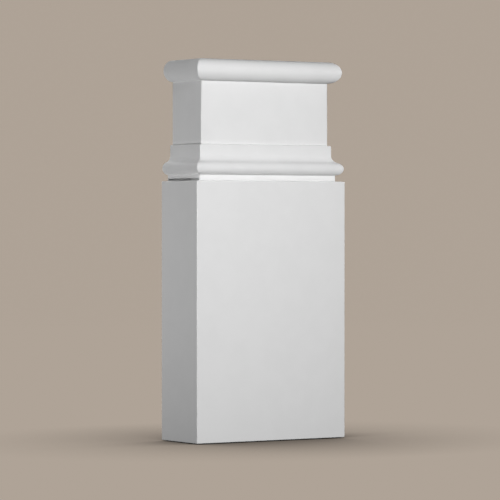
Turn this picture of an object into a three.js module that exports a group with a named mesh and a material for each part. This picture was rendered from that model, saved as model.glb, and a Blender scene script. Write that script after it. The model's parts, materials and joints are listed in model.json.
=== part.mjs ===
// Door casing plinth block, moulded in one piece with a flat back.
// A plain block carries a small step, a bead, a cavetto, a plain neck and a half-round cap.
// The same profile runs across the front and round both sides, mitred at the two front corners.
// Millimetres, +Z up, +X to the right seen from the front, -Y out of the wall.
// The origin is the middle of the underside.
import * as THREE from "three";

// Overall size
const WIDTH = 116;
const DEPTH = 44;
const HEIGHT = 250;

// Profile, from the floor up: a recess is taken inwards from the block's face
const BLOCK_HEIGHT = 170.4;
const LOWER_FILLET_RECESS = 4.6;
const BEAD_RADIUS = 4.2;
const BEAD_MID_HEIGHT = 178.8;
const CAVETTO_RADIUS = 5;
const UPPER_FILLET_RECESS = 6.5;
const UPPER_FILLET_TOP = 194.2;
const NECK_RECESS = 8.4;
const CAP_RADIUS = 7.1;

// Each round member is drawn with twice this number of straight pieces
const ARC_DIVISIONS = 9;
const SAME_POINT = 1e-6;

// White primer
const PRIMER_COLOUR = 0xeeeeee;
const PRIMER_ROUGHNESS = 0.62;

// Angles in the profile's plane, seen from a member's centre
const INWARDS = 0;
const UPWARDS = 0.5 * Math.PI;
const DOWNWARDS = 1.5 * Math.PI;
const HALF_TURN = Math.PI;

// The profile in a plane whose x is the recess and whose y is the height.
// The bead is centred on the lower fillet's face and the cap on the neck's.
function profilePath() {
  const cavettoRecess = UPPER_FILLET_RECESS - CAVETTO_RADIUS;
  const capMidHeight = HEIGHT - CAP_RADIUS;

  // The cavetto's centre stands where its arc runs on from the bead without a corner.
  const across = cavettoRecess - LOWER_FILLET_RECESS;
  const up = Math.sqrt((BEAD_RADIUS + CAVETTO_RADIUS) ** 2 - across ** 2);
  const join = Math.atan2(up, across);

  const path = new THREE.Path();
  path.moveTo(0, 0);
  path.lineTo(0, BLOCK_HEIGHT);
  path.lineTo(LOWER_FILLET_RECESS, BLOCK_HEIGHT);
  path.absarc(LOWER_FILLET_RECESS, BEAD_MID_HEIGHT, BEAD_RADIUS, DOWNWARDS, join, true);
  path.absarc(cavettoRecess, BEAD_MID_HEIGHT + up, CAVETTO_RADIUS, join - HALF_TURN, INWARDS, false);
  path.lineTo(UPPER_FILLET_RECESS, UPPER_FILLET_TOP);
  path.lineTo(NECK_RECESS, UPPER_FILLET_TOP);
  path.absarc(NECK_RECESS, capMidHeight, CAP_RADIUS, DOWNWARDS, UPWARDS, true);
  return path;
}

// The profile's points, without the repeats where one arc runs into the next.
function profilePoints() {
  const points = profilePath().getPoints(ARC_DIVISIONS);
  return points.filter((point, i) => i === 0 || point.distanceTo(points[i - 1]) > SAME_POINT);
}

// The outline at one point of the profile: back left, front left, front right, back right.
function outlineAt({ x: recess, y: height }) {
  const side = WIDTH / 2 - recess;
  const front = recess - DEPTH / 2;
  const back = DEPTH / 2;
  return [
    [-side, back, height],
    [-side, front, height],
    [side, front, height],
    [side, back, height],
  ];
}

// Outlines stacked up the profile, joined by strips and closed by the underside and the top.
function mitredBlockGeometry() {
  const outlines = profilePoints().map(outlineAt);
  const corners = outlines[0].length;
  const top = (outlines.length - 1) * corners;
  const faces = [];

  for (let level = 0; level < outlines.length - 1; level += 1) {
    for (let corner = 0; corner < corners; corner += 1) {
      const a = level * corners + corner;
      const b = level * corners + ((corner + 1) % corners);
      faces.push(a, b, b + corners);
      faces.push(a, b + corners, a + corners);
    }
  }
  for (let corner = 1; corner < corners - 1; corner += 1) {
    faces.push(0, corner + 1, corner);
    faces.push(top, top + corner, top + corner + 1);
  }

  const skin = new THREE.BufferGeometry();
  skin.setAttribute("position", new THREE.Float32BufferAttribute(outlines.flat(2), 3));
  skin.setIndex(faces);
  const geometry = skin.toNonIndexed();
  geometry.computeVertexNormals();
  return geometry;
}

function whitePrimer() {
  return new THREE.MeshStandardMaterial({
    color: PRIMER_COLOUR,
    roughness: PRIMER_ROUGHNESS,
    metalness: 0,
  });
}

const plinthBlock = new THREE.Mesh(mitredBlockGeometry(), whitePrimer());
plinthBlock.name = "plinth_block";

const part = new THREE.Group();
part.add(plinthBlock);

export default part;
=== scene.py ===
"""Looks of a door casing plinth block, moulded in rigid foam and primed white.

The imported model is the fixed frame. Geometry Nodes make the block again from the same sizes,
with eased arrises and smooth round members, and it gets its finish, a stage and a camera.
"""

import json
import math
from typing import NamedTuple

import bpy
from bpy.props import FloatProperty, FloatVectorProperty, IntProperty, PointerProperty
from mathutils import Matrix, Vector


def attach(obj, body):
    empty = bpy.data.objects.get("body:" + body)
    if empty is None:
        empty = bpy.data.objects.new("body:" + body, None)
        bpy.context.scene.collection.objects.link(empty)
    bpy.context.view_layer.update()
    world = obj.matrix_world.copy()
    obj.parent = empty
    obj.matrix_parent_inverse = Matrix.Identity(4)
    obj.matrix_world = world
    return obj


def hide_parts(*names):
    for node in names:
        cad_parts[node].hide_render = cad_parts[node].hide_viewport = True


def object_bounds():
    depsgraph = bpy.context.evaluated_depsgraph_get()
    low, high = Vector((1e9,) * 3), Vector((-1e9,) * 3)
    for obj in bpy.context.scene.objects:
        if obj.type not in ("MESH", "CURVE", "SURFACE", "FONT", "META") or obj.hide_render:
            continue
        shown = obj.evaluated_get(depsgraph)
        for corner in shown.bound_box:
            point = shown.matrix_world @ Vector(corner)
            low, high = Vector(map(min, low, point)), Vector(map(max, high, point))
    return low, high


bl_info = {
    "name": "Door Casing Plinth Block",
    "version": (1, 0, 0),
    "blender": (4, 5, 0),
    "location": "View3D > Sidebar > Plinth",
    "description": "Makes a moulded plinth block for the foot of a door casing, and its stage",
    "category": "Add Mesh",
}

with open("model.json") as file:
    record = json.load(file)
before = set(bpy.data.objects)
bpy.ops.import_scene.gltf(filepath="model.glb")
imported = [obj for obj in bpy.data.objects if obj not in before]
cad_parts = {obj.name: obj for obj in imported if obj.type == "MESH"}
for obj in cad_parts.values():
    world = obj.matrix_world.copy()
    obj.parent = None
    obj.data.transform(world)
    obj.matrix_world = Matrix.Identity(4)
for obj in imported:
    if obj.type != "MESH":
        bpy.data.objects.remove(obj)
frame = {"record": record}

# The frame's own names, sizes and colour
NODE = "plinth_block"
PIECE = "moulded_block"
BODY = "root"
CAD_LOW, CAD_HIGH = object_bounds()
CAD_SIZE = CAD_HIGH - CAD_LOW
SLOT_COLOUR = frame["record"]["materials"][0]["base_color"]

MM = 0.001


def length(name, description, millimetres):
    """A size in the panel, given in millimetres and held in metres."""
    return FloatProperty(
        name=name,
        description=description,
        default=millimetres * MM,
        min=0.0,
        precision=4,
        unit="LENGTH",
    )


def colour(name, description, red_green_blue):
    """A colour in the panel."""
    return FloatVectorProperty(
        name=name,
        description=description,
        default=red_green_blue,
        min=0.0,
        max=1.0,
        subtype="COLOR",
    )


class PlinthSizes(bpy.types.PropertyGroup):
    """Sizes of the block. A recess is taken inwards from the face of the plain block."""

    width: length("Width", "Across the plain block", CAD_SIZE.x / MM)
    depth: length("Depth", "From the back to the plain block's face", CAD_SIZE.y / MM)
    height: length("Height", "From the floor to the top of the cap", CAD_SIZE.z / MM)
    block_height: length("Block Height", "From the floor to the top of the plain block", 170.4)
    lower_fillet: length("Lower Fillet Recess", "Recess of the fillet under the bead", 4.6)
    bead_radius: length("Bead Radius", "Radius of the bead", 4.2)
    bead_middle: length("Bead Middle", "From the floor to the middle of the bead", 178.8)
    cavetto_radius: length("Cavetto Radius", "Radius of the hollow above the bead", 5.0)
    upper_fillet: length("Upper Fillet Recess", "Recess of the fillet above the hollow", 6.5)
    upper_fillet_top: length("Upper Fillet Top", "From the floor to the ledge under the neck", 194.2)
    neck: length("Neck Recess", "Recess of the plain neck", 8.4)
    cap_radius: length("Cap Radius", "Radius of the half-round cap", 7.1)
    arris_radius: length("Arris Radius", "Easing of the moulded outer edges", 0.5)
    back_radius: length("Back Radius", "Easing of the sanded edges round the back", 0.15)
    root_radius: length("Root Radius", "Easing of the inner corners on the two ledges", 0.3)
    ledge_fall: length("Ledge Fall", "How far the two ledges fall outwards, to leave the mould", 0.12)
    round_steps: IntProperty(
        name="Round Steps",
        description="Straight pieces in a corner of the bead, the hollow or the cap",
        default=24,
        min=2,
    )
    arris_steps: IntProperty(
        name="Arris Steps",
        description="Straight pieces in an eased edge",
        default=5,
        min=1,
    )


class PlinthFinish(bpy.types.PropertyGroup):
    """Colours of the primed skin and of the back."""

    primer: colour("Primer", "Full coat of white primer", SLOT_COLOUR)
    thin_primer: colour("Thin Primer", "Where the sprayed coat is thinner", (0.84, 0.84, 0.84))
    # Painted shade: a darker colour put into the pinholes and open cells for the shade inside them; the
    # pits themselves are bumped in.
    pinhole: colour("Pinhole", "Inside a pinhole of the skin", (0.58, 0.57, 0.54))
    sanded_foam: colour("Sanded Foam", "Foam sanded level on the back", (0.80, 0.76, 0.67))


class PlinthStage(bpy.types.PropertyGroup):
    """The floor and the camera."""

    floor: colour("Floor", "Colour of the floor as it is seen", (0.428, 0.366, 0.309))
    floor_radius: FloatProperty(
        name="Floor Radius",
        description="From the middle of the floor to its upturned rim",
        default=3.0,
        unit="LENGTH",
    )
    azimuth: FloatProperty(
        name="Azimuth",
        description="Camera's turn round the block, from straight in front",
        default=math.radians(-32.79),
        subtype="ANGLE",
    )
    elevation: FloatProperty(
        name="Elevation",
        description="Camera's height above the horizon",
        default=math.radians(0.54),
        subtype="ANGLE",
    )
    distance: FloatProperty(
        name="Distance",
        description="From the camera to the middle of the block",
        default=2.023,
        unit="LENGTH",
    )
    aside: FloatProperty(
        name="Aside",
        description="How far to the right of the block's middle the camera aims",
        default=-2.6 * MM,
        precision=4,
        unit="LENGTH",
    )
    lens: FloatProperty(
        name="Lens",
        description="Focal length of the camera",
        default=219.8,
        unit="CAMERA",
    )


# Node trees

COLUMN_WIDTH = 220
ROW_HEIGHT = 170


class Number:
    """A number inside a node tree, so that a tree's sums are written as plain sums."""

    def __init__(self, tree, socket):
        self.tree = tree
        self.socket = socket

    def calculate(self, operation, *others):
        values = dict(enumerate((self, *others)))
        node = add_node(self.tree, "ShaderNodeMath", values, operation=operation)
        return Number(self.tree, node.outputs[0])

    def __add__(self, other):
        return self.calculate("ADD", other)

    def __sub__(self, other):
        return self.calculate("SUBTRACT", other)

    def __mul__(self, other):
        return self.calculate("MULTIPLY", other)

    def __truediv__(self, other):
        return self.calculate("DIVIDE", other)

    def __mod__(self, other):
        return self.calculate("MODULO", other)

    def __floordiv__(self, other):
        return (self / other).calculate("FLOOR")

    def __gt__(self, other):
        return self.calculate("GREATER_THAN", other)


def add_node(tree, kind, inputs=None, **settings):
    """A new node. Each input is given a plain value, another node's output or a Number."""
    node = tree.nodes.new(kind)
    for name, setting in settings.items():
        setattr(node, name, setting)
    for key, value in (inputs or {}).items():
        feed(tree, node.inputs[key], value)
    return node


def feed(tree, socket, value):
    """Links an output to an input, or sets the input's own value."""
    if isinstance(value, Number):
        value = value.socket
    if isinstance(value, bpy.types.NodeSocket):
        tree.links.new(value, socket)
    else:
        socket.default_value = value


def vector(tree, x, y, z):
    """A vector put together from three numbers."""
    return add_node(tree, "ShaderNodeCombineXYZ", {"X": x, "Y": y, "Z": z}).outputs["Vector"]


def numbers(tree, vector_socket):
    """The three numbers of a vector."""
    node = add_node(tree, "ShaderNodeSeparateXYZ", {"Vector": vector_socket})
    return [Number(tree, socket) for socket in node.outputs]


def choose(tree, kind, index, items):
    """The item that stands at an index in a list."""
    node = add_node(tree, "GeometryNodeIndexSwitch", data_type=kind)
    while len(node.index_switch_items) < len(items):
        node.index_switch_items.new()
    feed(tree, node.inputs["Index"], index)
    for place, item in enumerate(items):
        feed(tree, node.inputs[str(place)], item)
    return node.outputs["Output"]


def lay_out(tree):
    """Sets the nodes out in columns, each to the right of what feeds it."""
    columns = {}

    def column(node):
        if node.name not in columns:
            feeders = [link.from_node for socket in node.inputs for link in socket.links]
            columns[node.name] = 1 + max(map(column, feeders), default=-1)
        return columns[node.name]

    filled = {}
    for node in tree.nodes:
        place = column(node)
        node.location = (place * COLUMN_WIDTH, -filled.get(place, 0) * ROW_HEIGHT)
        filled[place] = filled.get(place, 0) + 1


# The block's Geometry Nodes

SAME_POINT = 0.01 * MM
ROUND_MEMBER = 1.0 * MM
SQUARE_ON = 0.99999
CORNERS = 4
RIM = "rim"


def profile_corners(size):
    """The profile's corners as recess, height and rounding, from the underside to the top.

    The bead is centred on the lower fillet and the cap on the neck. The hollow runs on from
    the bead without a corner, so their roundings meet on one sloping line.
    """
    fillet, bead = size["Lower Fillet Recess"], size["Bead Radius"]
    hollow_back, cavetto = size["Upper Fillet Recess"], size["Cavetto Radius"]
    neck, cap = size["Neck Recess"], size["Cap Radius"]
    arris, root, fall = size["Arris Radius"], size["Root Radius"], size["Ledge Fall"]
    block_top, fillet_top = size["Block Height"], size["Upper Fillet Top"]
    bead_middle, top = size["Bead Middle"], size["Height"]

    reach = bead + cavetto
    across = hollow_back - cavetto - fillet
    up = (reach * reach - across * across).calculate("SQRT")
    slope = ((reach + across) / (reach - across)).calculate("SQRT")

    bead_nose = fillet - bead
    bead_foot = bead_middle - bead
    bead_shoulder = bead_middle + bead * slope
    hollow_foot = bead_middle + up - cavetto * slope
    cap_nose = neck - cap
    cap_foot = top - cap * 2

    return [
        (arris, 0.0, 0.0),
        (0.0, 0.0, arris),
        (0.0, block_top, arris),
        (fillet, block_top + fall, root),
        (fillet, bead_foot, 0.0),
        (bead_nose, bead_foot, bead),
        (bead_nose, bead_shoulder, bead),
        (hollow_back, hollow_foot, cavetto),
        (hollow_back, fillet_top, arris),
        (neck, fillet_top + fall, root),
        (neck, cap_foot, 0.0),
        (cap_nose, cap_foot, cap),
        (cap_nose, top, cap),
        (neck, top, 0.0),
    ]


def profile_curve(tree, size):
    """The profile as a curve whose X is the recess and whose Z is the height."""
    corners = profile_corners(size)
    index = add_node(tree, "GeometryNodeInputIndex").outputs["Index"]
    places = [vector(tree, recess, 0.0, height) for recess, height, rounding in corners]
    roundings = [rounding for recess, height, rounding in corners]
    points = add_node(
        tree,
        "GeometryNodePoints",
        {
            "Count": len(corners),
            "Position": choose(tree, "VECTOR", index, places),
            "Radius": choose(tree, "FLOAT", index, roundings),
        },
    )
    straight = add_node(tree, "GeometryNodePointsToCurves", {"Points": points.outputs["Points"]})

    radius = Number(tree, add_node(tree, "GeometryNodeInputRadius").outputs["Radius"])
    steps = add_node(
        tree,
        "GeometryNodeSwitch",
        input_type="INT",
        inputs={
            "Switch": radius > ROUND_MEMBER,
            "False": size["Arris Steps"],
            "True": size["Round Steps"],
        },
    )
    rounded = add_node(
        tree,
        "GeometryNodeFilletCurve",
        mode="POLY",
        inputs={
            "Curve": straight.outputs["Curves"],
            "Radius": radius,
            "Limit Radius": True,
            "Count": steps.outputs["Output"],
        },
    )
    return rounded.outputs["Curve"]


def mitred_skin(tree, size, profile):
    """The profile carried round the plan: the left side, the front, the right side and the back.

    The plan's corners are counted from the back left one, by way of the front. Each is an arc
    with one more point before and after it, which keep the straight runs' shading straight.
    """
    domain = add_node(tree, "GeometryNodeAttributeDomainSize", {"Geometry": profile}, component="CURVE")
    rows = Number(tree, domain.outputs["Point Count"])
    steps = size["Arris Steps"]
    per_corner = steps + 3
    stations = per_corner * CORNERS

    index = Number(tree, add_node(tree, "GeometryNodeInputIndex").outputs["Index"])
    row = index % rows
    station = index // rows % stations
    corner = station // per_corner
    step = station % per_corner - 1
    arc_step = step.calculate("MAXIMUM", 0).calculate("MINIMUM", steps)
    past_arc = step - arc_step
    angle = (arc_step / steps + corner + 1) * (math.pi / 2)
    sine, cosine = angle.calculate("SINE"), angle.calculate("COSINE")
    side = corner // 2 * 2 - 1
    is_front = (corner + 1) // 2 % 2
    arris = size["Back Radius"] + is_front * (size["Arris Radius"] - size["Back Radius"])

    place = add_node(tree, "GeometryNodeInputPosition").outputs["Position"]
    sample = add_node(
        tree,
        "GeometryNodeSampleIndex",
        data_type="FLOAT_VECTOR",
        inputs={"Geometry": profile, "Value": place, "Index": row},
    )
    recess, _, height = numbers(tree, sample.outputs["Value"])
    x = side * (size["Width"] / 2 - recess - arris) + (cosine - past_arc * sine) * arris
    back = size["Depth"] / 2 - arris
    y = back - is_front * (size["Depth"] - recess - arris * 2) + (sine + past_arc * cosine) * arris

    grid = add_node(tree, "GeometryNodeMeshGrid", {"Vertices X": stations + 1, "Vertices Y": rows})
    skin = add_node(
        tree,
        "GeometryNodeSetPosition",
        {"Geometry": grid.outputs["Mesh"], "Position": vector(tree, x, y, height)},
    )
    rim = add_node(
        tree,
        "GeometryNodeStoreNamedAttribute",
        {"Geometry": skin.outputs["Geometry"], "Name": RIM, "Value": side},
    )
    closed = add_node(
        tree,
        "GeometryNodeMergeByDistance",
        {"Geometry": rim.outputs["Geometry"], "Distance": SAME_POINT},
    )
    return closed.outputs["Geometry"]


def end_face(tree, skin, height):
    """The flat face, looking up, that fills the skin's open edge at a height."""
    faces = add_node(tree, "GeometryNodeInputMeshEdgeNeighbors").outputs["Face Count"]
    place = add_node(tree, "GeometryNodeInputPosition").outputs["Position"]
    z = numbers(tree, place)[2]
    level = z.calculate("COMPARE", height, SAME_POINT)
    is_open = Number(tree, faces).calculate("COMPARE", 1.0, 0.5)
    edge = add_node(tree, "GeometryNodeMeshToCurve", {"Mesh": skin, "Selection": level * is_open})
    face = add_node(tree, "GeometryNodeFillCurve", {"Curve": edge.outputs["Curve"]}, mode="NGONS")
    lifted = add_node(
        tree,
        "GeometryNodeTransform",
        {"Geometry": face.outputs["Mesh"], "Translation": vector(tree, 0.0, 0.0, height)},
    )
    return lifted.outputs["Geometry"]


def facing(tree):
    """The three numbers of a face's own direction."""
    return numbers(tree, add_node(tree, "GeometryNodeInputNormal").outputs["True Normal"])


def closed_block(tree, size, skin):
    """The skin with its two ends, shaded flat on flat faces and smooth on round ones."""
    underside = add_node(tree, "GeometryNodeFlipFaces", {"Mesh": end_face(tree, skin, 0.0)})
    whole = add_node(tree, "GeometryNodeJoinGeometry")
    for part in (skin, underside.outputs["Mesh"], end_face(tree, skin, size["Height"])):
        tree.links.new(part, whole.inputs["Geometry"])
    closed = add_node(
        tree,
        "GeometryNodeMergeByDistance",
        {"Geometry": whole.outputs["Geometry"], "Distance": SAME_POINT},
    )
    smooth = add_node(
        tree,
        "GeometryNodeSetShadeSmooth",
        {"Geometry": closed.outputs["Geometry"], "Shade Smooth": True},
    )
    x, y, z = [part.calculate("ABSOLUTE") for part in facing(tree)]
    most = x.calculate("MAXIMUM", y).calculate("MAXIMUM", z)
    shaded = add_node(
        tree,
        "GeometryNodeSetShadeSmooth",
        {"Geometry": smooth.outputs["Geometry"], "Selection": most > SQUARE_ON, "Shade Smooth": False},
    )
    return shaded.outputs["Geometry"]


def plinth_tree():
    """The node tree of the whole block, with one input for each size and material."""
    tree = bpy.data.node_groups.new("Plinth block", "GeometryNodeTree")
    for key in PlinthSizes.__annotations__:
        setting = PlinthSizes.bl_rna.properties[key]
        kind = "NodeSocketInt" if setting.type == "INT" else "NodeSocketFloat"
        socket = tree.interface.new_socket(setting.name, in_out="INPUT", socket_type=kind)
        socket.default_value = setting.default
    for name in ("Skin", "Back"):
        tree.interface.new_socket(name, in_out="INPUT", socket_type="NodeSocketMaterial")
    tree.interface.new_socket("Geometry", in_out="OUTPUT", socket_type="NodeSocketGeometry")

    given = add_node(tree, "NodeGroupInput").outputs
    size = {socket.name: Number(tree, socket) for socket in given}
    skin = mitred_skin(tree, size, profile_curve(tree, size))
    block = closed_block(tree, size, skin)

    real = add_node(tree, "GeometryNodeRealizeInstances", {"Geometry": block})
    primed = add_node(
        tree,
        "GeometryNodeSetMaterial",
        {"Geometry": real.outputs["Geometry"], "Material": given["Skin"]},
    )
    backed = add_node(
        tree,
        "GeometryNodeSetMaterial",
        {
            "Geometry": primed.outputs["Geometry"],
            "Selection": facing(tree)[1] > SQUARE_ON,
            "Material": given["Back"],
        },
    )
    add_node(tree, "NodeGroupOutput", {"Geometry": backed.outputs["Geometry"]})
    lay_out(tree)
    return tree


def made_plain(piece):
    """Turns a piece's nodes into a plain mesh, without the empty slot that Set Material leaves."""
    graph = bpy.context.evaluated_depsgraph_get()
    mesh = bpy.data.meshes.new_from_object(piece.evaluated_get(graph), depsgraph=graph)
    if mesh.materials[0] is None:
        mesh.materials.pop(index=0)
    piece.modifiers.clear()
    piece.data = mesh
    mesh.name = piece.name


# Materials: how large and deep the marks of each finish are

COAT_PATCH = 16 * MM
COAT_GRAIN = 1.1 * MM
COAT_WAVE_DEPTH = 0.008 * MM
COAT_GRAIN_DEPTH = 0.006 * MM
COAT_ROUGHNESS = (0.52, 0.64)
COAT_SPECULAR = 0.4
PATCH_ENDS = (0.3, 0.7)
GRAIN_ENDS = (0.25, 0.75)

PIT_SPACING = 9 * MM
PIT_RADIUS = 0.22 * MM
PIT_SHARE = 0.35
PIT_DEPTH = 0.06 * MM
SMALLEST_HOLE = 0.4
HOLE_FLOOR = 0.5

BACK_PATCH = 30 * MM
BACK_GRAIN = 0.8 * MM
BACK_ROUGHNESS = (0.72, 0.9)
BACK_SPECULAR = 0.3
CELL_SPACING = 2.6 * MM
CELL_RADIUS = 0.3 * MM
CELL_SHARE = 0.7
CELL_DEPTH = 0.12 * MM
SCRATCH_WIDTH = 0.9 * MM
SCRATCH_STRETCH = (1.0, 1.0, 0.04)
SCRATCH_DEPTH = 0.03 * MM
WRAP_FULL = 1 * MM
WRAP_END = 3 * MM
WRAP_RAGGEDNESS = 4 * MM


def shader_group(name, inputs, outputs):
    """An empty shader group with named inputs and outputs, each a kind of socket."""
    tree = bpy.data.node_groups.new(name, "ShaderNodeTree")
    for label, kind in inputs.items():
        tree.interface.new_socket(label, in_out="INPUT", socket_type=kind)
    for label, kind in outputs.items():
        tree.interface.new_socket(label, in_out="OUTPUT", socket_type=kind)
    return tree


def noise(tree, place, patch):
    """Cloudy noise whose patches are about a given size across."""
    scale = Number(tree, patch).calculate("POWER", -1.0)
    node = add_node(tree, "ShaderNodeTexNoise", {"Vector": place, "Scale": scale, "Detail": 2.0})
    return Number(tree, node.outputs["Fac"])


def ramp(tree, value, low, high):
    """A value stretched so that low becomes 0 and high becomes 1, with soft ends."""
    node = add_node(
        tree,
        "ShaderNodeMapRange",
        {"Value": value, "From Min": low, "From Max": high},
        interpolation_type="SMOOTHSTEP",
    )
    return Number(tree, node.outputs["Result"])


def between(tree, factor, low, high):
    """A value that goes from low to high with a factor."""
    node = add_node(
        tree,
        "ShaderNodeMapRange",
        {"Value": factor, "To Min": low, "To Max": high},
    )
    return node.outputs["Result"]


def mixed_colour(tree, factor, first, second):
    """A colour that goes from the first to the second with a factor."""
    node = tree.nodes.new("ShaderNodeMix")
    node.data_type = "RGBA"
    sockets = {socket.identifier: socket for socket in node.inputs}
    feed(tree, sockets["Factor_Float"], factor)
    feed(tree, sockets["A_Color"], first)
    feed(tree, sockets["B_Color"], second)
    return next(socket for socket in node.outputs if socket.identifier == "Result_Color")


def sprayed_coat_group():
    """Unevenness of a sprayed coat: broad soft patches and a fine grain."""
    tree = shader_group(
        "Sprayed coat",
        {"Vector": "NodeSocketVector", "Patch Size": "NodeSocketFloat", "Grain Size": "NodeSocketFloat"},
        {"Patches": "NodeSocketFloat", "Grain": "NodeSocketFloat"},
    )
    given = add_node(tree, "NodeGroupInput").outputs
    patches = noise(tree, given["Vector"], given["Patch Size"])
    grain = noise(tree, given["Vector"], given["Grain Size"])
    add_node(
        tree,
        "NodeGroupOutput",
        {"Patches": ramp(tree, patches, *PATCH_ENDS), "Grain": ramp(tree, grain, *GRAIN_ENDS)},
    )
    lay_out(tree)
    return tree


def pinholes_group():
    """Pinholes left by gas bubbles at the mould's face: scattered round dots of differing size."""
    tree = shader_group(
        "Pinholes",
        {
            "Vector": "NodeSocketVector",
            "Spacing": "NodeSocketFloat",
            "Radius": "NodeSocketFloat",
            "Share": "NodeSocketFloat",
        },
        {"Holes": "NodeSocketFloat"},
    )
    given = add_node(tree, "NodeGroupInput").outputs
    spacing = Number(tree, given["Spacing"])
    cells = add_node(
        tree,
        "ShaderNodeTexVoronoi",
        {"Vector": given["Vector"], "Scale": spacing.calculate("POWER", -1.0)},
    )
    away = Number(tree, cells.outputs["Distance"]) * spacing
    size, chance, _ = numbers(tree, cells.outputs["Color"])
    radius = Number(tree, given["Radius"]) * (size + SMALLEST_HOLE)
    picked = Number(tree, given["Share"]) > chance
    hole = ramp(tree, away / radius, 1.0, HOLE_FLOOR)
    add_node(tree, "NodeGroupOutput", {"Holes": hole * picked})
    lay_out(tree)
    return tree


def placed_group(tree, group, inputs):
    """A shader group placed in a material, with its own values."""
    node = tree.nodes.new("ShaderNodeGroup")
    node.node_tree = group
    for key, value in inputs.items():
        feed(tree, node.inputs[key], value)
    return node.outputs


def opaque(red_green_blue):
    """A colour with full alpha, as sockets want it."""
    return (*red_green_blue, 1.0)


def new_material(name):
    """An empty material, its tree and the place on the piece that each point is at."""
    material = bpy.data.materials.new(name)
    material.use_nodes = True
    tree = material.node_tree
    tree.nodes.clear()
    place = add_node(tree, "ShaderNodeTexCoord").outputs["Object"]
    return material, tree, place


def bumped(tree, relief, depth, under=None):
    """A normal bent by relief of a given depth, on top of another normal if there is one."""
    node = add_node(tree, "ShaderNodeBump", {"Height": relief, "Distance": depth, "Strength": 1.0})
    if under is not None:
        tree.links.new(under, node.inputs["Normal"])
    return node.outputs["Normal"]


def finish_material(tree, base_colour, roughness, normal, specular):
    """The surface shader that a material's nodes feed."""
    surface = add_node(
        tree,
        "ShaderNodeBsdfPrincipled",
        {
            "Base Color": base_colour,
            "Roughness": roughness,
            "Normal": normal,
            "Specular IOR Level": specular,
        },
    )
    add_node(tree, "ShaderNodeOutputMaterial", {"Surface": surface.outputs["BSDF"]})
    lay_out(tree)


def white_primer(finish, coat, pinholes):
    """Matt white primer sprayed on the moulded skin."""
    material, tree, place = new_material("white primer")
    spray = placed_group(
        tree,
        coat,
        {"Vector": place, "Patch Size": COAT_PATCH, "Grain Size": COAT_GRAIN},
    )
    holes = placed_group(
        tree,
        pinholes,
        {"Vector": place, "Spacing": PIT_SPACING, "Radius": PIT_RADIUS, "Share": PIT_SHARE},
    )["Holes"]
    coat_colour = mixed_colour(tree, spray["Patches"], opaque(finish.primer), opaque(finish.thin_primer))
    # Painted shade: the pinholes are coloured darker than the primer, standing in for the shade inside
    # them.
    base_colour = mixed_colour(tree, holes, coat_colour, opaque(finish.pinhole))
    roughness = between(tree, spray["Patches"], *COAT_ROUGHNESS)
    waves = bumped(tree, spray["Patches"], COAT_WAVE_DEPTH)
    grain = bumped(tree, spray["Grain"], COAT_GRAIN_DEPTH, waves)
    pits = bumped(tree, Number(tree, holes) * -1.0, PIT_DEPTH, grain)
    finish_material(tree, base_colour, roughness, pits, COAT_SPECULAR)
    return material


def sanded_back(finish, coat, pinholes, half_width, height):
    """The back, sanded level: open cells with painted shade, fine scratches and primer that wrapped
    round the rim.
    """
    material, tree, place = new_material("sanded back")
    spray = placed_group(
        tree,
        coat,
        {"Vector": place, "Patch Size": BACK_PATCH, "Grain Size": BACK_GRAIN},
    )
    holes = placed_group(
        tree,
        pinholes,
        {"Vector": place, "Spacing": CELL_SPACING, "Radius": CELL_RADIUS, "Share": CELL_SHARE},
    )["Holes"]

    scratch_place = add_node(tree, "ShaderNodeMapping", {"Vector": place, "Scale": SCRATCH_STRETCH})
    scratches = add_node(
        tree,
        "ShaderNodeTexNoise",
        {"Vector": scratch_place.outputs["Vector"], "Scale": 1.0 / SCRATCH_WIDTH, "Detail": 3.0},
    ).outputs["Fac"]

    rim = Number(tree, add_node(tree, "ShaderNodeAttribute", attribute_name=RIM).outputs["Fac"])
    from_side = (rim.calculate("ABSOLUTE") * -1.0 + 1.0) * half_width
    z = numbers(tree, place)[2]
    from_end = z.calculate("MINIMUM", z * -1.0 + height)
    from_rim = from_side.calculate("MINIMUM", from_end)
    ragged = from_rim + (Number(tree, spray["Patches"]) - 0.5) * WRAP_RAGGEDNESS
    wrapped = ramp(tree, ragged, WRAP_END, WRAP_FULL)

    # Painted shade: the open cells are coloured darker than the foam, standing in for the shade inside
    # them.
    foam = mixed_colour(tree, holes, opaque(finish.sanded_foam), opaque(finish.pinhole))
    base_colour = mixed_colour(tree, wrapped, foam, opaque(finish.primer))
    roughness = between(tree, scratches, *BACK_ROUGHNESS)
    scored = bumped(tree, scratches, SCRATCH_DEPTH)
    cells = bumped(tree, Number(tree, holes) * -1.0, CELL_DEPTH, scored)
    finish_material(tree, base_colour, roughness, cells, BACK_SPECULAR)
    return material


# The stage

FLOOR_GAP = 0.5 * MM
COVE_RADIUS = 0.8
FLOOR_SIDES = 96
COVE_STEPS = 16
# Reach and depth of the painted contact shade that dims the floor's glow near the block.
PAINTED_SHADE_REACH = 0.16
PAINTED_SHADE_DEPTH = 1.7
FLOOR_BOUNCE = 0.093
BLACK = (0.0, 0.0, 0.0, 1.0)


class SoftLight(NamedTuple):
    """A soft square light. Places are in metres, the power is in watts."""

    name: str
    place: tuple
    aim: tuple
    size: float
    spread: float
    power: float


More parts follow.
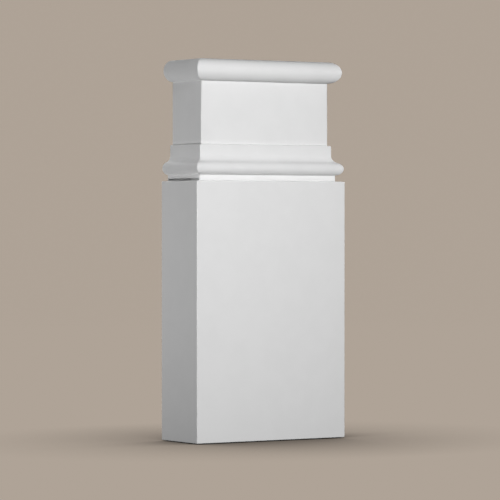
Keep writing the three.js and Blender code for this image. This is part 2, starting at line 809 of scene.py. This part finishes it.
# The key and the two low lights give the front and the left side their tones, and the top light
# gives the cap's upper edge its own. The last two light the right side and the back.
LIGHTS = (
    SoftLight("key", (-0.12, -0.62, 0.405), (0.0, 0.0, 0.15), 0.14, 180.0, 3.15),
    SoftLight("low front", (-0.06, -0.40, 0.03), (0.0, 0.0, 0.10), 0.06, 180.0, 0.235),
    SoftLight("low left", (-0.43, 0.12, 0.015), (-0.058, 0.0, 0.23), 0.03, 118.0, 0.263),
    SoftLight("top", (-0.20, 0.40, 0.95), (0.0, 0.0, 0.18), 0.40, 180.0, 0.3),
    SoftLight("right", (0.70, 0.20, 0.35), (0.0, 0.0, 0.12), 0.30, 180.0, 2.0),
    SoftLight("back", (0.15, 0.90, 0.40), (0.0, 0.0, 0.12), 0.40, 180.0, 5.0),
)


def floor_mesh(radius):
    """A round floor that turns up into a low wall all round."""
    rings = [(radius - COVE_RADIUS, 0.0)]
    for step in range(1, COVE_STEPS + 1):
        angle = step / COVE_STEPS * math.pi / 2
        rings.append(
            (
                radius - COVE_RADIUS + COVE_RADIUS * math.sin(angle),
                COVE_RADIUS - COVE_RADIUS * math.cos(angle),
            )
        )
    points = []
    for ring_radius, height in rings:
        for side in range(FLOOR_SIDES):
            angle = side / FLOOR_SIDES * math.tau
            across, along = ring_radius * math.cos(angle), ring_radius * math.sin(angle)
            points.append((across, along, height - FLOOR_GAP))
    faces = [tuple(range(FLOOR_SIDES))]
    for ring in range(len(rings) - 1):
        for side in range(FLOOR_SIDES):
            after = (side + 1) % FLOOR_SIDES
            low, high = ring * FLOOR_SIDES, (ring + 1) * FLOOR_SIDES
            faces.append((low + after, low + side, high + side, high + after))
    mesh = bpy.data.meshes.new("floor")
    mesh.from_pydata(points, [], faces)
    mesh.shade_smooth()
    return mesh


def floor_paper(floor_colour):
    """Matt backdrop paper that glows, with painted contact shade where the block stands on it.

    To the block it glows in a dimmer grey than to the camera, so that it neither tints the white
    primer nor fills the shade under the cap and the bead. It reflects nothing, so that the lights
    leave no pools on it.
    """
    material = bpy.data.materials.new("backdrop paper")
    material.use_nodes = True
    tree = material.node_tree
    shade = add_node(tree, "ShaderNodeAmbientOcclusion", {"Distance": PAINTED_SHADE_REACH})
    seen = add_node(tree, "ShaderNodeLightPath").outputs["Is Camera Ray"]
    colours = mixed_colour(tree, seen, opaque([FLOOR_BOUNCE] * 3), opaque(floor_colour))
    # Painted contact shade: the glow is dimmed by ambient occlusion near the block, towards the camera
    # and towards the block alike.
    glow = Number(tree, shade.outputs["AO"]).calculate("POWER", PAINTED_SHADE_DEPTH)
    surface = tree.nodes["Principled BSDF"]
    surface.inputs["Base Color"].default_value = BLACK
    surface.inputs["Roughness"].default_value = 1.0
    surface.inputs["Specular IOR Level"].default_value = 0.0
    feed(tree, surface.inputs["Emission Color"], colours)
    feed(tree, surface.inputs["Emission Strength"], glow)
    lay_out(tree)
    return material


def add_floor(stage):
    """The floor, with its backdrop paper."""
    floor = bpy.data.objects.new("floor", floor_mesh(stage.floor_radius))
    floor.data.materials.append(floor_paper(stage.floor))
    bpy.context.scene.collection.objects.link(floor)


def add_light(soft):
    """One soft light, unseen by the camera."""
    data = bpy.data.lights.new(soft.name, "AREA")
    data.size = soft.size
    data.spread = math.radians(soft.spread)
    data.energy = soft.power
    light = bpy.data.objects.new(soft.name, data)
    place = Vector(soft.place)
    light.location = place
    light.rotation_euler = (Vector(soft.aim) - place).to_track_quat("-Z", "Y").to_euler()
    light.visible_camera = False
    bpy.context.scene.collection.objects.link(light)


def add_lights():
    """All the lights, and a dark surround."""
    for soft in LIGHTS:
        add_light(soft)
    world = bpy.data.worlds.new("studio")
    world.use_nodes = True
    world.node_tree.nodes["Background"].inputs["Color"].default_value = BLACK
    bpy.context.scene.world = world


def add_camera(stage):
    """The camera, turned round the block's middle and aimed a little aside of it."""
    turn, rise = stage.azimuth, stage.elevation
    back = Vector(
        (
            math.sin(turn) * math.cos(rise),
            -math.cos(turn) * math.cos(rise),
            math.sin(rise),
        )
    )
    right = Vector((math.cos(turn), math.sin(turn), 0.0))
    aim = (CAD_LOW + CAD_HIGH) / 2 + right * stage.aside
    data = bpy.data.cameras.new("camera")
    data.lens = stage.lens
    camera = bpy.data.objects.new("camera", data)
    camera.location = aim + back * stage.distance
    camera.rotation_euler = (-back).to_track_quat("-Z", "Y").to_euler()
    bpy.context.scene.collection.objects.link(camera)
    bpy.context.scene.camera = camera


# Operators, panel and start

class PLINTH_OT_block(bpy.types.Operator):
    """Make the moulded block with its primed skin and sanded back"""

    bl_idname = "plinth.block"
    bl_label = "Moulded Block"

    def execute(self, context):
        sizes = context.scene.plinth_sizes
        finish = context.scene.plinth_finish
        coat, pinholes = sprayed_coat_group(), pinholes_group()
        values = {
            PlinthSizes.bl_rna.properties[key].name: getattr(sizes, key)
            for key in PlinthSizes.__annotations__
        }
        values["Skin"] = white_primer(finish, coat, pinholes)
        values["Back"] = sanded_back(finish, coat, pinholes, sizes.width / 2, sizes.height)

        block = bpy.data.objects.new(PIECE, bpy.data.meshes.new(PIECE))
        context.scene.collection.objects.link(block)
        nodes = block.modifiers.new("Plinth block", "NODES")
        nodes.node_group = plinth_tree()
        for item in nodes.node_group.interface.items_tree:
            if item.in_out == "INPUT":
                nodes[item.identifier] = values[item.name]
        made_plain(block)
        if not block.data.polygons:
            raise RuntimeError("the block's nodes made no faces")

        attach(block, BODY)
        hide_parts(NODE)
        return {"FINISHED"}


class PLINTH_OT_stage(bpy.types.Operator):
    """Make the floor, the lights and the camera"""

    bl_idname = "plinth.stage"
    bl_label = "Stage"

    def execute(self, context):
        stage = context.scene.plinth_stage
        add_floor(stage)
        add_lights()
        add_camera(stage)
        context.scene.view_settings.view_transform = "Standard"
        return {"FINISHED"}


class PLINTH_PT_panel(bpy.types.Panel):
    """Sizes, finish and stage of the plinth block"""

    bl_label = "Plinth Block"
    bl_space_type = "VIEW_3D"
    bl_region_type = "UI"
    bl_category = "Plinth"

    def draw(self, context):
        scene = context.scene
        sections = (
            (scene.plinth_sizes, PLINTH_OT_block.bl_idname),
            (scene.plinth_finish, None),
            (scene.plinth_stage, PLINTH_OT_stage.bl_idname),
        )
        for settings, operator in sections:
            box = self.layout.box()
            for key in type(settings).__annotations__:
                box.prop(settings, key)
            if operator:
                box.operator(operator)


CLASSES = (
    PlinthSizes,
    PlinthFinish,
    PlinthStage,
    PLINTH_OT_block,
    PLINTH_OT_stage,
    PLINTH_PT_panel,
)


def register():
    for each in CLASSES:
        bpy.utils.register_class(each)
    bpy.types.Scene.plinth_sizes = PointerProperty(type=PlinthSizes)
    bpy.types.Scene.plinth_finish = PointerProperty(type=PlinthFinish)
    bpy.types.Scene.plinth_stage = PointerProperty(type=PlinthStage)


def unregister():
    del bpy.types.Scene.plinth_stage
    del bpy.types.Scene.plinth_finish
    del bpy.types.Scene.plinth_sizes
    for each in reversed(CLASSES):
        bpy.utils.unregister_class(each)


def main():
    register()
    bpy.ops.plinth.block()
    bpy.ops.plinth.stage()


if __name__ == "__main__":
    main()
